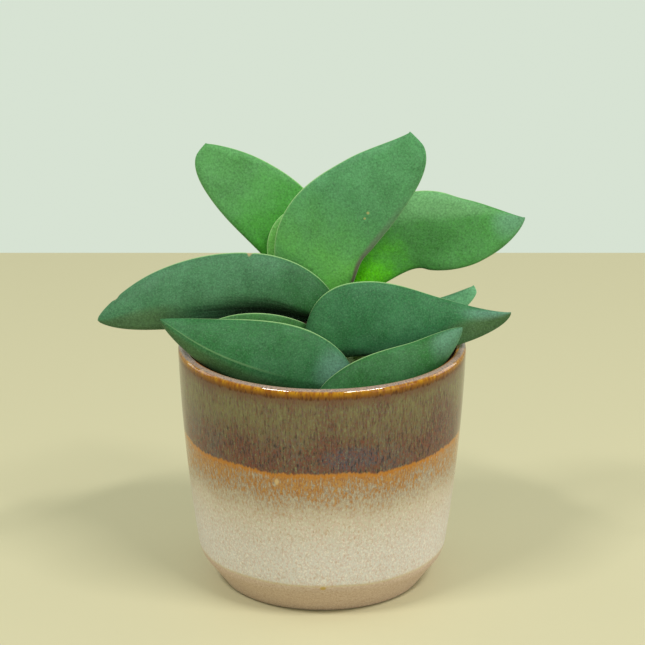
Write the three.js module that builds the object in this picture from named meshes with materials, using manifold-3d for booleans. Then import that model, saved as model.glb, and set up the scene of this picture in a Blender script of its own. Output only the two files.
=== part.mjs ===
// A potted crassula: a young propeller plant with five pairs of thick, flat leaves on one short stem,
// growing in potting soil in a glazed stoneware pot.
// Units are millimetres and +Z is up. The origin is the centre of the pot's foot, on the surface it stands on,
// and the plant's broad side faces -Y.
import * as THREE from 'three';
import { mergeVertices } from 'three/addons/utils/BufferGeometryUtils.js';
import Module from 'manifold-3d';

const wasm = await Module();
wasm.setup();

// Pot
const POT_HEIGHT = 95;
const RIM_RADIUS = 55;
const WALL = 4;
const SHOULDER_HEIGHT = 12.5; // where the wall turns in to the foot
const SHOULDER_RADIUS = 47.5;
const FOOT_RADIUS = 38;
const WALL_BULGE = 1.2; // how far the wall stands outside a straight cone, half way up
const RIM_ROUND = WALL / 2;
const FLOOR_THICKNESS = 6;
const POT_SEGMENTS = 60;
const CURVE_STEPS = 4; // along each curve of the pot's and the soil's profile

// Soil
const SOIL_HEIGHT = 76; // at the pot's wall
const SOIL_MOUND = 3; // how much higher it is round the stem
const FIT_GAP = 0.4; // between the soil and the pot or the stem

// Stem
const STEM_X = 9;
const STEM_Y = 2;
const STEM_FOOT = 60; // how deep the stem reaches into the soil
const STEM_TOP = 112;
const STEM_RADII = [3, 6.5, 6.5, 4]; // at its foot, at the soil, half way up and at the top
const STEM_SEGMENTS = 20;
const NECK_ROOT_RADIUS = 5.5; // of the short neck that joins each leaf to the stem, on the stem's axis
const NECK_SEAT_RADIUS = 2.8; // and at the leaf
const NECK_SEGMENTS = 12;
const NECK_GAP = 0.6; // cut all round a leaf where it joins the stem

// Leaves
const STATIONS = 18; // along a leaf
const AROUND = 14; // round a leaf
const MARGIN_SHARPNESS = 0.6; // 1 is an ellipse, and lower is a flatter blade with a blunter margin
const BASE_ROUNDING = 0.14; // share of the length over which the thickness rises from the base
const TIP_ROUNDING = 0.1;
const TIP_THINNING = 0.45; // how much thinner the leaf is at its tip
const MERGE_DISTANCE = 1e-4; // points closer than this are one

// A leaf's spine runs from its base at the stem to its tip. up is the way that its upper margin faces, at the
// base and at the tip. upper and lower give the blade's two margins: how far each stands from the spine at its
// widest, and how blunt it is at the base and at the tip, where 0.5 is round and 1 or more is pointed. cup is
// how far both margins stand back from the spine, and seat is the share of the spine's length where the leaf
// joins the stem.
const LEAVES = [
  {
    name: 'leaf_1_left',
    spine: [[12, -19, 85], [-12, -24, 91], [-38, -22.5, 99], [-61, -14, 109]],
    up: [[0, 0, 1], [0, 0.5, 1]],
    upper: { width: 17.5, base: 0.6, tip: 1 },
    lower: { width: 9, base: 0.5, tip: 0.65 },
    thickness: 5,
    cup: 2,
    seat: 0.16,
  },
  {
    name: 'leaf_1_right',
    spine: [[-3, -27.5, 80], [16, -28, 87], [36, -23, 94], [53, -13, 105.5]],
    up: [[0, 0.1, 1], [0, 0.4, 1]],
    upper: { width: 10.5, base: 0.65, tip: 0.85 },
    lower: { width: 8, base: 0.5, tip: 0.6 },
    thickness: 5,
    cup: 1,
    seat: 0.2,
  },
  {
    name: 'leaf_2_left',
    spine: [[6, -5, 88], [-8, -11, 94], [-28, -14.5, 99], [-50, -12, 100]],
    up: [[0, 0.1, 1], [0, 0.1, 1]],
    upper: { width: 13, base: 0.8, tip: 0.7 },
    lower: { width: 9, base: 0.5, tip: 0.7 },
    thickness: 3.6,
    cup: 0,
    seat: 0.05,
  },
  {
    name: 'leaf_2_right',
    spine: [[13, 8, 92], [28, 16, 97], [44, 21, 101], [59, 24, 110]],
    up: [[0, 0, 1], [0, 0.2, 1]],
    upper: { width: 8, base: 0.5, tip: 1.3 },
    lower: { width: 6, base: 0.5, tip: 0.3 },
    thickness: 5,
    cup: -1,
    seat: 0.05,
  },
  {
    name: 'leaf_3_left',
    spine: [[4, -7, 108], [-22, -6.5, 117.5], [-54, -7.5, 116.5], [-85, -10, 107]],
    up: [[0, 0.05, 1], [0, 0.3, 1]],
    upper: { width: 14, base: 0.4, tip: 0.66 },
    lower: { width: 14.5, base: 0.8, tip: 0.75 },
    thickness: 5.5,
    cup: 1.5,
    seat: 0.06,
  },
  {
    name: 'leaf_3_right',
    spine: [[-7, -13.5, 101], [12, -13.5, 107], [42, -8, 106], [72, 0, 107]],
    up: [[0, 0.1, 1], [0, 0.35, 1]],
    upper: { width: 15.5, base: 0.87, tip: 1.5 },
    lower: { width: 13, base: 0.38, tip: 0.55 },
    thickness: 5,
    cup: 1,
    seat: 0.2,
  },
  {
    name: 'leaf_4_left',
    spine: [[0, 14, 106], [-11, 17, 131], [-28, 19, 151], [-44.5, 20, 168]],
    up: [[1, 0.2, 0.6], [1, 0.2, 1]],
    upper: { width: 15.5, base: 0.6, tip: 0.9 },
    lower: { width: 14.5, base: 0.45, tip: 0.33 },
    thickness: 6,
    cup: -1,
    seat: 0.08,
  },
  {
    name: 'leaf_4_right',
    spine: [[13, 12, 109], [32, 16, 130.5], [54, 19, 134.5], [78, 22, 138]],
    up: [[-1, 0.25, 1], [0, 0.3, 1]],
    upper: { width: 17, base: 0.75, tip: 1.2 },
    lower: { width: 15, base: 1, tip: 0.75 },
    thickness: 6,
    cup: -1,
    seat: 0.04,
  },
  {
    name: 'leaf_5_left',
    spine: [[6, 5, 112], [-1, 6, 128], [1, 6.5, 139], [8, 6.5, 149]],
    up: [[-1, 0.25, 0], [-1, 0.2, 1]],
    upper: { width: 20.5, base: 0.65, tip: 1.1 },
    lower: { width: 15, base: 0.6, tip: 0.7 },
    thickness: 4,
    cup: 0.5,
    seat: 0.05,
  },
  {
    name: 'leaf_5_right',
    spine: [[5, -0.8, 110], [3, -1.2, 134], [15.5, -3, 158], [33, -3, 179]],
    up: [[-1, 0.25, 0], [-1, 0.2, 1]],
    upper: { width: 21.5, base: 0.47, tip: 1.2 },
    lower: { width: 17.5, base: 0.6, tip: 0.33 },
    thickness: 6,
    cup: 1,
    seat: 0.05,
  },
];

const POTTERY = new THREE.MeshStandardMaterial({ color: '#9a7b5c', roughness: 0.25, metalness: 0 });
const SOIL = new THREE.MeshStandardMaterial({ color: '#3a2a1e', roughness: 0.95, metalness: 0 });
const STEM = new THREE.MeshStandardMaterial({ color: '#7d9a4e', roughness: 0.6, metalness: 0 });
const LEAF = new THREE.MeshStandardMaterial({ color: '#3f7f4f', roughness: 0.55, metalness: 0 });

// A closed geometry as a solid that can be joined and cut.
function solidOf(geometry) {
  const plain = new THREE.BufferGeometry();
  plain.setAttribute('position', geometry.getAttribute('position'));
  plain.setIndex(geometry.index);
  const merged = mergeVertices(plain, MERGE_DISTANCE);
  const mesh = new wasm.Mesh({
    numProp: 3,
    vertProperties: new Float32Array(merged.attributes.position.array),
    triVerts: new Uint32Array(merged.index.array),
  });
  return new wasm.Manifold(mesh);
}

// A solid as a geometry again.
function geometryOf(solid) {
  const mesh = solid.getMesh();
  const geometry = new THREE.BufferGeometry();
  geometry.setAttribute('position', new THREE.BufferAttribute(mesh.vertProperties, 3));
  geometry.setIndex(new THREE.BufferAttribute(mesh.triVerts, 1));
  geometry.computeVertexNormals();
  return geometry;
}

function joined(solids) {
  return solids.reduce((whole, solid) => whole.add(solid));
}

function meshOf(name, geometry, material) {
  const mesh = new THREE.Mesh(geometry, material);
  mesh.name = name;
  return mesh;
}

function vectorOf(point) {
  return new THREE.Vector3(...point);
}

// A solid of revolution about +Z. The profile's points are (radius, height), from the axis and back to it.
function turned(profile, segments) {
  return new THREE.LatheGeometry(profile, segments).rotateX(Math.PI / 2);
}

// The pot's wall leans out in a shallow curve from the shoulder to its rounded rim, inside and outside.
function pot() {
  const bulgeRadius = (SHOULDER_RADIUS + RIM_RADIUS) / 2 + 2 * WALL_BULGE;
  const bulgeHeight = (SHOULDER_HEIGHT + POT_HEIGHT) / 2;
  const rimHeight = POT_HEIGHT - RIM_ROUND;
  const profile = new THREE.Path();
  profile.moveTo(0, 0);
  profile.lineTo(FOOT_RADIUS, 0);
  profile.lineTo(SHOULDER_RADIUS, SHOULDER_HEIGHT);
  profile.quadraticCurveTo(bulgeRadius, bulgeHeight, RIM_RADIUS, rimHeight);
  profile.absarc(RIM_RADIUS - RIM_ROUND, rimHeight, RIM_ROUND, 0, Math.PI, false);
  profile.quadraticCurveTo(bulgeRadius - WALL, bulgeHeight, SHOULDER_RADIUS - WALL, SHOULDER_HEIGHT);
  profile.lineTo(FOOT_RADIUS, FLOOR_THICKNESS);
  profile.lineTo(0, FLOOR_THICKNESS);
  return turned(profile.getPoints(CURVE_STEPS), POT_SEGMENTS);
}

function spineOf(leaf) {
  return new THREE.CatmullRomCurve3(leaf.spine.map(vectorOf));
}

// How far a margin stands from the spine, as a share of its widest, at a share t of the length.
function marginShare(t, { base, tip }) {
  const widest = base / (base + tip);
  return (t / widest) ** base * ((1 - t) / (1 - widest)) ** tip;
}

// The thickness at a share t of the length, as a share of the thickest: it rises in a quarter ellipse at each
// end and thins towards the tip.
function thicknessShare(t) {
  const rise = 1 - Math.min(1, t / BASE_ROUNDING);
  const fall = 1 - Math.min(1, (1 - t) / TIP_ROUNDING);
  return Math.sqrt(1 - rise ** 2) * Math.sqrt(1 - fall ** 2) * (1 - TIP_THINNING * t);
}

// The ring of points round a blade at a share t of its length, a flattened ellipse with blunt margins.
function bladeRing({ up, upper, lower, thickness, cup }, curve, t, extra) {
  const centre = curve.getPoint(t);
  const along = curve.getTangent(t);
  const across = vectorOf(up[0]).lerp(vectorOf(up[1]), t).projectOnPlane(along).normalize();
  const face = along.clone().cross(across);
  const half = (thickness / 2) * thicknessShare(t) + extra;
  return Array.from({ length: AROUND }, (_, j) => {
    const angle = (2 * Math.PI * j) / AROUND;
    const v = Math.cos(angle);
    const side = v > 0 ? upper : lower;
    const share = marginShare(t, side);
    const back = cup * v ** 2 * share * Math.sign(face.y);
    const out = Math.sign(Math.sin(angle)) * Math.abs(Math.sin(angle)) ** MARGIN_SHARPNESS * half;
    const point = centre.clone().addScaledVector(across, v * (side.width * share + extra));
    return point.addScaledVector(face, out + back);
  });
}

// A closed skin over rings of points, with a point at each end.
function skinned(first, rings, last) {
  const at = (i, j) => 1 + i * AROUND + (j % AROUND);
  const end = 1 + rings.length * AROUND;
  const index = [];
  for (let j = 0; j < AROUND; j++) {
    index.push(0, at(0, j + 1), at(0, j));
    index.push(end, at(rings.length - 1, j), at(rings.length - 1, j + 1));
    for (let i = 0; i < rings.length - 1; i++) {
      index.push(at(i, j), at(i, j + 1), at(i + 1, j + 1));
      index.push(at(i, j), at(i + 1, j + 1), at(i + 1, j));
    }
  }
  const geometry = new THREE.BufferGeometry().setFromPoints([first, ...rings.flat(), last]);
  geometry.setIndex(index);
  geometry.computeVertexNormals();
  return geometry;
}

// A leaf's blade. extra makes it that much larger all round, for cutting room for it in another piece. The
// rings stand closer together towards both ends, where the outline turns.
function blade(leaf, extra = 0) {
  const curve = spineOf(leaf);
  const base = curve.getPoint(0).addScaledVector(curve.getTangent(0), -extra);
  const tip = curve.getPoint(1).addScaledVector(curve.getTangent(1), extra);
  const rings = [];
  for (let i = 1; i < STATIONS; i++) {
    const t = (1 - Math.cos((Math.PI * i) / STATIONS)) / 2;
    rings.push(bladeRing(leaf, curve, t, extra));
  }
  return skinned(base, rings, tip);
}

// The neck that joins one leaf to the stem: a short cone from the stem's axis into the leaf at its seat.
function neck(leaf) {
  const seat = spineOf(leaf).getPoint(leaf.seat);
  const lowest = SOIL_HEIGHT + SOIL_MOUND + NECK_ROOT_RADIUS;
  const highest = STEM_TOP - NECK_ROOT_RADIUS;
  const root = new THREE.Vector3(STEM_X, STEM_Y, THREE.MathUtils.clamp(seat.z, lowest, highest));
  const length = root.distanceTo(seat);
  const cone = new THREE.CylinderGeometry(NECK_SEAT_RADIUS, NECK_ROOT_RADIUS, length, NECK_SEGMENTS);
  const frame = new THREE.Matrix4().lookAt(seat, root, vectorOf([0, 0, 1])).setPosition(root);
  return cone.translate(0, length / 2, 0).rotateX(Math.PI / 2).applyMatrix4(frame);
}

function trunk(extra = 0) {
  const foot = new THREE.Vector2(0, STEM_FOOT - extra);
  const top = new THREE.Vector2(0, STEM_TOP + extra);
  const heights = [foot.y, SOIL_HEIGHT, (SOIL_HEIGHT + STEM_TOP) / 2, top.y];
  const outline = new THREE.SplineCurve(STEM_RADII.map((r, i) => new THREE.Vector2(r + extra, heights[i])));
  const profile = [foot, ...outline.getPoints(2 * CURVE_STEPS), top];
  return turned(profile, STEM_SEGMENTS).translate(STEM_X, STEM_Y, 0);
}

function stem() {
  const necks = joined(LEAVES.map((leaf) => solidOf(neck(leaf))));
  const room = joined(LEAVES.map((leaf) => solidOf(blade(leaf, NECK_GAP))));
  return geometryOf(solidOf(trunk()).add(necks).subtract(room));
}

// The soil fills the pot to below the rim, rises a little towards the middle and is cut for the stem.
function soil() {
  const wallAt = (height) => {
    const share = (height - SHOULDER_HEIGHT) / (POT_HEIGHT - SHOULDER_HEIGHT);
    return THREE.MathUtils.lerp(SHOULDER_RADIUS, RIM_RADIUS, share) - WALL - FIT_GAP;
  };
  const profile = new THREE.Path();
  profile.moveTo(0, FLOOR_THICKNESS + FIT_GAP);
  profile.lineTo(FOOT_RADIUS - FIT_GAP, FLOOR_THICKNESS + FIT_GAP);
  profile.lineTo(wallAt(SHOULDER_HEIGHT), SHOULDER_HEIGHT);
  profile.lineTo(wallAt(SOIL_HEIGHT), SOIL_HEIGHT);
  profile.quadraticCurveTo(STEM_X, SOIL_HEIGHT, 0, SOIL_HEIGHT + SOIL_MOUND);
  const whole = solidOf(turned(profile.getPoints(CURVE_STEPS), POT_SEGMENTS));
  return geometryOf(whole.subtract(solidOf(trunk(FIT_GAP))));
}

const part = new THREE.Group();
part.add(meshOf('pot', pot(), POTTERY));
part.add(meshOf('soil', soil(), SOIL));
part.add(meshOf('stem', stem(), STEM));
for (const leaf of LEAVES) part.add(meshOf(leaf.name, blade(leaf), LEAF));

export default part;
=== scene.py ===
# %% [markdown]
# # A potted crassula
# A young propeller plant stands in a small stoneware pot: five pairs of thick, velvety leaves on one
# short stem, in dark potting soil. The pot's glaze breaks from amber at the rim through a streaky plum
# brown and a flecked orange to a speckled cream, and its foot is bare clay.
# The construction comes first, already packed at its real size. Everything here is laid over it, in
# metres, and takes its place in the picture.

# %% Load the frame
import math
import random
from collections import deque
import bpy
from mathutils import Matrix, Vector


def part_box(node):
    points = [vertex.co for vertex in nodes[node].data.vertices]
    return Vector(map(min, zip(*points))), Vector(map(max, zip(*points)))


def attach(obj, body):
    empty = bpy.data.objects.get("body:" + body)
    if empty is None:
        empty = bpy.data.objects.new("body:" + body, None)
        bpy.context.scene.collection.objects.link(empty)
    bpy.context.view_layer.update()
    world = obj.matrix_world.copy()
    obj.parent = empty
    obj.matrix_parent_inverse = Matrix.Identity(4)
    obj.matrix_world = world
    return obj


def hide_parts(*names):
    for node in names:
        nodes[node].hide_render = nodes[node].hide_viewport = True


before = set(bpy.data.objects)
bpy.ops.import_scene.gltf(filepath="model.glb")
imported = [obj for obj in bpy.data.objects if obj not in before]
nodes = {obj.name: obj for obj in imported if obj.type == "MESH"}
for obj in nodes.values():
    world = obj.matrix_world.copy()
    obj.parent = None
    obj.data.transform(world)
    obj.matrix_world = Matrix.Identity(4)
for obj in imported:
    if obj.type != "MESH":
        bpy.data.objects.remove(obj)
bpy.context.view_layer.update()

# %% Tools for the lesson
from types import SimpleNamespace

import bpy
import numpy as np
from mathutils import Vector, noise

SEED = 11
MM = 0.001

# %% [markdown]
# ## The camera
# The pot is seen from a little above and from far away through a long lens, which keeps its sides nearly
# straight. The camera could be turned by hand until the view fits, but elevation, distance, aim and lens
# fix the picture between them, so these four are named and the rest is worked out.

# %% Camera
CAMERA_ELEVATION = math.radians(18.75)
CAMERA_DISTANCE = 1.2
CAMERA_AIM = Vector((0.00017, 0, 0.10285))
CAMERA_LENS = 175.65

bpy.ops.object.camera_add()
camera = bpy.context.object
camera.name = "view_camera"
back = Vector((0, -math.cos(CAMERA_ELEVATION), math.sin(CAMERA_ELEVATION)))
camera.location = CAMERA_AIM + back * CAMERA_DISTANCE
camera.rotation_euler = (math.pi / 2 - CAMERA_ELEVATION, 0, 0)
camera.data.lens = CAMERA_LENS
bpy.context.scene.camera = camera
print("camera at", [round(v, 3) for v in camera.location])

# %% [markdown]
# ## Small helpers for modelling
# An operator works on everything that is selected, so each step first selects exactly what it should touch.
# Modifiers are applied at once, which leaves plain meshes with nothing left to evaluate.

# %% Selecting, editing and finishing a piece


def only(*pieces):
    """Select these pieces alone, and make the first one active."""
    bpy.ops.object.select_all(action="DESELECT")
    for piece in pieces:
        piece.select_set(True)
    bpy.context.view_layer.objects.active = pieces[0]


def edit(piece):
    """Open this piece in edit mode with nothing selected."""
    only(piece)
    bpy.ops.object.mode_set(mode="EDIT")
    bpy.ops.mesh.select_all(action="DESELECT")


def close_edit():
    bpy.ops.object.mode_set(mode="OBJECT")


def modify(piece, kind, **settings):
    """Add a modifier with these settings and apply it."""
    only(piece)
    modifier = piece.modifiers.new(kind.title(), kind)
    for name, value in settings.items():
        setattr(modifier, name, value)
    bpy.ops.object.modifier_apply(modifier=modifier.name)


def smooth_shaded(piece, degrees):
    """Shade the piece smooth, and keep edges that turn by more than this sharp."""
    only(piece)
    bpy.ops.object.shade_smooth_by_angle(angle=math.radians(degrees))


def belongs(piece, slot, *replaced):
    """Fix a piece to the plant's one body and hide the CAD nodes that it stands for; the slot is not used.
    """
    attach(piece, "root")
    if replaced:
        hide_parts(*replaced)


def merged_copy(name, node):
    """A copy of a CAD node, with its loose triangles merged into one skin."""
    piece = bpy.data.objects.new(name, nodes[node].data.copy())
    bpy.context.scene.collection.objects.link(piece)
    piece.data.materials.clear()
    edit(piece)
    bpy.ops.mesh.select_all(action="SELECT")
    bpy.ops.mesh.remove_doubles(threshold=0.01 * MM)
    close_edit()
    return piece


def points_of(mesh):
    """The mesh's points as an array, one row each."""
    flat = np.zeros(len(mesh.vertices) * 3)
    mesh.vertices.foreach_get("co", flat)
    return flat.reshape(-1, 3)


def move_points(piece, points):
    piece.data.vertices.foreach_set("co", np.asarray(points, float).ravel())
    piece.data.update()


# %% [markdown]
# ## Small helpers for shading
# A finish is easier to read as arithmetic than as a list of nodes. This class wraps a socket, so that
# `1 - mask * 0.4` adds the Math nodes it needs. Any other node comes from `add`, settings first.

# %% Shader maths


class Wire:
    """One output in a material's node tree, or with no socket the bare tree."""

    def __init__(self, tree, socket=None):
        self.tree = tree
        self.socket = socket

    def add(self, kind, settings=None, inputs=None, output=0):
        """Add a node: its settings first, then the value or wire of each socket."""
        node = self.tree.nodes.new(kind)
        for name, value in (settings or {}).items():
            setattr(node, name, value)
        for name, value in (inputs or {}).items():
            if isinstance(value, Wire):
                self.tree.links.new(value.socket, node.inputs[name])
            else:
                node.inputs[name].default_value = value
        return Wire(self.tree, node.outputs[output]) if node.outputs else None

    def math(self, operation, first, second=0.0):
        return self.add("ShaderNodeMath", {"operation": operation}, {0: first, 1: second})

    def __add__(self, other):
        return self.math("ADD", self, other)

    def __sub__(self, other):
        return self.math("SUBTRACT", self, other)

    def __rsub__(self, other):
        return self.math("SUBTRACT", other, self)

    def __mul__(self, other):
        return self.math("MULTIPLY", self, other)

    def __truediv__(self, other):
        return self.math("DIVIDE", self, other)

    def __abs__(self):
        return self.math("ABSOLUTE", self)

    __radd__ = __add__
    __rmul__ = __mul__

    def step(self, low, high):
        """0 below low and 1 above high, with a soft step between; low above high turns it round."""
        inputs = {"Value": self, "From Min": low, "From Max": high}
        return self.add("ShaderNodeMapRange", {"interpolation_type": "SMOOTHSTEP"}, inputs)

    def mix(self, low, high):
        """A colour from low to high, with this as the share of high."""
        return self.add("ShaderNodeMix", {"data_type": "RGBA"}, {0: self, 6: low, 7: high}, 2)

    def times(self, factor):
        """A colour made lighter or darker by a wire."""
        grey = self.add("ShaderNodeCombineColor", None, {0: factor, 1: factor, 2: factor})
        settings = {"data_type": "RGBA", "blend_type": "MULTIPLY"}
        return self.add("ShaderNodeMix", settings, {0: 1.0, 6: self, 7: grey}, 2)

    def scaled(self, x, y, z, shift=0.0):
        """A point with each axis scaled, for a pattern of that many cells to the metre."""
        inputs = {"Vector": self, "Scale": (x, y, z), "Location": (shift, shift, shift)}
        return self.add("ShaderNodeMapping", None, inputs)

    def noise(self, detail, roughness):
        """Noise from 0 to 1 at this point."""
        inputs = {"Vector": self, "Scale": 1.0, "Detail": detail, "Roughness": roughness}
        return self.add("ShaderNodeTexNoise", None, inputs)


def finish(name):
    """A new material with an empty node tree."""
    material = bpy.data.materials.new(name)
    material.use_nodes = True
    material.node_tree.nodes.clear()
    return material, Wire(material.node_tree)


def surface(tree, **sockets):
    """End a finish in one Principled shader. A word stands for the socket of that name."""
    inputs = {}
    for key, value in sockets.items():
        inputs[key.replace("_", " ").title().replace("Ior", "IOR")] = value
    shader = tree.add("ShaderNodeBsdfPrincipled", None, inputs)
    tree.add("ShaderNodeOutputMaterial", None, {"Surface": shader})


def colour(red, green, blue):
    """A display colour of 0 to 255 a channel, as the linear colour that a shader takes."""

    def linear(value):
        share = value / 255
        return share / 12.92 if share <= 0.04045 else ((share + 0.055) / 1.055) ** 2.4

    return (linear(red), linear(green), linear(blue), 1.0)


def bump(tree, height, distance, strength=1.0):
    """Relief without geometry: a height from 0 to 1 stands for this distance."""
    inputs = {"Strength": strength, "Distance": distance, "Height": height}
    return tree.add("ShaderNodeBump", None, inputs)


def object_point(tree):
    """The place on the piece in metres, in the piece's own frame."""
    return tree.add("ShaderNodeTexCoord", None, None, "Object")


def parts_of(point):
    """The x, y and z of a point as three wires."""
    split = point.add("ShaderNodeSeparateXYZ", None, {0: point})
    return [Wire(point.tree, output) for output in split.socket.node.outputs]


def own(tree, name):
    """A value that the piece keeps at each of its points."""
    return tree.add("ShaderNodeAttribute", {"attribute_name": name}, None, "Fac")


print("mid grey as a linear colour:", [round(v, 3) for v in colour(128, 128, 128)])

# %% [markdown]
# ## Floor, light and air
# A pale wooden tabletop bounces warm light up under the leaves, so the floor is a pale cream. It ends
# some way behind the plant, where it meets the air in a straight line.

# %% Floor
FLOOR_BACK = 0.415
FLOOR_REACH = 3.0

bpy.ops.mesh.primitive_plane_add(size=1)
floor = bpy.context.object
floor.name = "floor"
floor.scale = (2 * FLOOR_REACH, FLOOR_REACH + FLOOR_BACK, 1)
floor.location = (0, (FLOOR_BACK - FLOOR_REACH) / 2, 0)
only(floor)
bpy.ops.object.transform_apply()
material, tree = finish("pale_floor")
surface(tree, base_color=colour(199, 191, 155), roughness=0.6)
floor.data.materials.append(material)
print("floor", [round(v, 2) for v in floor.dimensions])

# %% [markdown]
# ### Lights and air
# Daylight in a room comes from several windows and from every pale wall. Two long soft boxes overhead
# leave the two glints on the rim, a broad fill from the right front evens out the shade, and a faint glow
# from behind on each side lights the flanks. The air does the rest. It looks brighter than it lights,
# because air that lit as brightly as it looks would wash the greens out.

# %% Lights
PLANT_MIDDLE = 0.08

# each light: where it stands, its width and height, and its power in watts
LIGHTS = {
    "box_left": dict(place=(-0.8, -0.75, 1.5), size=(0.58, 0.12), power=14),
    "box_right": dict(place=(0.72, -0.75, 1.5), size=(0.8, 0.12), power=17),
    "front_fill": dict(place=(1.9, -1.2, 0.6), size=(1.6, 1.2), power=7, aim_height=0.06),
    "glow_right": dict(place=(1.35, 0.6, 0.5), size=(0.8, 0.8), power=4),
    "glow_left": dict(place=(-1.35, 0.6, 0.5), size=(0.8, 0.8), power=3),
}


def soft_box(name, place, size, power, aim_height=PLANT_MIDDLE):
    """A rectangular area light that faces the pot's axis at this height."""
    bpy.ops.object.light_add(type="AREA", location=place)
    light = bpy.context.object
    light.name = name
    light.data.shape = "RECTANGLE"
    light.data.size, light.data.size_y = size
    light.data.energy = power
    towards = Vector((0, 0, aim_height)) - Vector(place)
    light.rotation_euler = towards.to_track_quat("-Z", "Y").to_euler()


for name, traits in LIGHTS.items():
    soft_box(name, **traits)

# %% Air
AIR_COLOUR = colour(222, 234, 218)
AIR_SEEN = 0.93
AIR_LIGHT = 0.58

world = bpy.data.worlds.new("pale_air")
world.use_nodes = True
bpy.context.scene.world = world
world.node_tree.nodes.clear()
air = Wire(world.node_tree)
seen = air.add("ShaderNodeLightPath", None, None, "Is Camera Ray")
strength = seen * (AIR_SEEN - AIR_LIGHT) + AIR_LIGHT
shader = air.add("ShaderNodeBackground", None, {"Color": AIR_COLOUR, "Strength": strength})
air.add("ShaderNodeOutputWorld", None, {"Surface": shader})
bpy.context.scene.view_settings.view_transform = "Standard"
print("air: seen at", AIR_SEEN, "and lighting at", AIR_LIGHT)

# %% [markdown]
# ## The pot
# A pot like this is cast or thrown, so every level of it is a circle. Its outline could be a curve with a
# screw modifier, but a chain of points extruded one from the next and then spun keeps each radius in
# sight. The foot rises to a soft shoulder, the wall swells a little, and the rim is a full round.

# %% The pot's outline
pot_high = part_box("pot")[1]
POT_HEIGHT = pot_high.z
RIM_RADIUS = pot_high.x
WALL = 4 * MM
RIM_ROUND = WALL / 2
LIP = POT_HEIGHT - RIM_ROUND
FOOT_RADIUS = 38 * MM
SHOULDER_RADIUS = 47.5 * MM
SHOULDER_HEIGHT = 12.5 * MM
WALL_BULGE = 1.2 * MM
POT_FLOOR = 6 * MM
FOOT_EDGE = 0.8 * MM
SHOULDER_SOFT = 3.2 * MM
RIM_STEPS = 14
POT_STEPS = 144


def bend(start, control, end, steps):
    """Points along a quadratic curve, without its start."""
    start, control, end = map(Vector, (start, control, end))
    shares = [i / steps for i in range(1, steps + 1)]
    return [start * (1 - t) ** 2 + control * 2 * t * (1 - t) + end * t * t for t in shares]


def pot_outline():
    """(radius, height) from the middle of the underside out, up, over the rim and back down inside."""
    foot = Vector((FOOT_RADIUS, 0))
    shoulder = Vector((SHOULDER_RADIUS, SHOULDER_HEIGHT))
    lip = Vector((RIM_RADIUS, LIP))
    middle_radius = (SHOULDER_RADIUS + RIM_RADIUS) / 2 + 2 * WALL_BULGE
    middle = Vector((middle_radius, (SHOULDER_HEIGHT + POT_HEIGHT) / 2))
    up_foot = (shoulder - foot).normalized()
    up_wall = (middle - shoulder).normalized()
    inside = Vector((-WALL, 0))
    outline = [Vector((0, 0)), Vector((0.5 * FOOT_RADIUS, 0)), foot - Vector((FOOT_EDGE, 0))]
    outline += bend(outline[-1], foot, foot + up_foot * FOOT_EDGE, steps=4)
    outline += bend(outline[-1], outline[-1], shoulder - up_foot * SHOULDER_SOFT, steps=3)
    outline += bend(outline[-1], shoulder, shoulder + up_wall * SHOULDER_SOFT, steps=7)
    outline += bend(outline[-1], middle, lip, steps=26)
    for i in range(1, RIM_STEPS + 1):
        turn = math.pi * i / RIM_STEPS
        outline.append(lip + Vector((math.cos(turn) - 1, math.sin(turn))) * RIM_ROUND)
    outline += bend(outline[-1], middle + inside, shoulder + inside, steps=14)
    outline += [Vector((FOOT_RADIUS, POT_FLOOR)), Vector((0, POT_FLOOR))]
    return outline


def spun(name, outline, steps):
    """A closed turned piece: a chain of points, extruded one by one, spun about the upright axis."""
    bpy.ops.object.select_all(action="DESELECT")
    bpy.ops.mesh.primitive_circle_add(vertices=3, radius=MM)
    piece = bpy.context.object
    piece.name = name
    bpy.ops.object.mode_set(mode="EDIT")
    bpy.ops.mesh.select_all(action="SELECT")
    bpy.ops.mesh.merge(type="CENTER")
    start = Vector((outline[0].x, 0, outline[0].y))
    bpy.ops.transform.translate(value=start)
    for before, after in zip(outline, outline[1:]):
        step = Vector((after.x - before.x, 0, after.y - before.y))
        bpy.ops.mesh.extrude_region_move(TRANSFORM_OT_translate={"value": step})
    bpy.ops.mesh.select_all(action="SELECT")
    bpy.ops.mesh.spin(steps=steps, angle=2 * math.pi, center=(0, 0, 0), axis=(0, 0, 1))
    bpy.ops.mesh.select_all(action="SELECT")
    bpy.ops.mesh.remove_doubles(threshold=0.01 * MM)
    bpy.ops.mesh.normals_make_consistent(inside=False)
    close_edit()
    return piece


pot = spun("pot_glazed", pot_outline(), POT_STEPS)
smooth_shaded(pot, 50)
belongs(pot, "stoneware", "pot")
print("pot:", len(pot.data.polygons), "faces, size", [round(v, 4) for v in pot.dimensions])

# %% [markdown]
# ## The reactive glaze
# Two glazes overlap on this pot. Where the dark one is thin, on the rim, it breaks to amber; where it is
# thick it streaks downwards in khaki, plum and slate; where it runs out over the pale one it flecks
# orange. The bands could be painted on an unwrapped skin, but each one is a band of height, so the finish
# is worked out from height alone. Noise that is stretched upright carries the edges of each band up and
# down, the way the glaze ran in the kiln.

# %% Bands and grains
CLAY_TOP = 13.6 * MM
CREAM_TOP = 46 * MM
ORANGE_TOP = 61.5 * MM
AMBER_FOOT = 91.2 * MM


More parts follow.
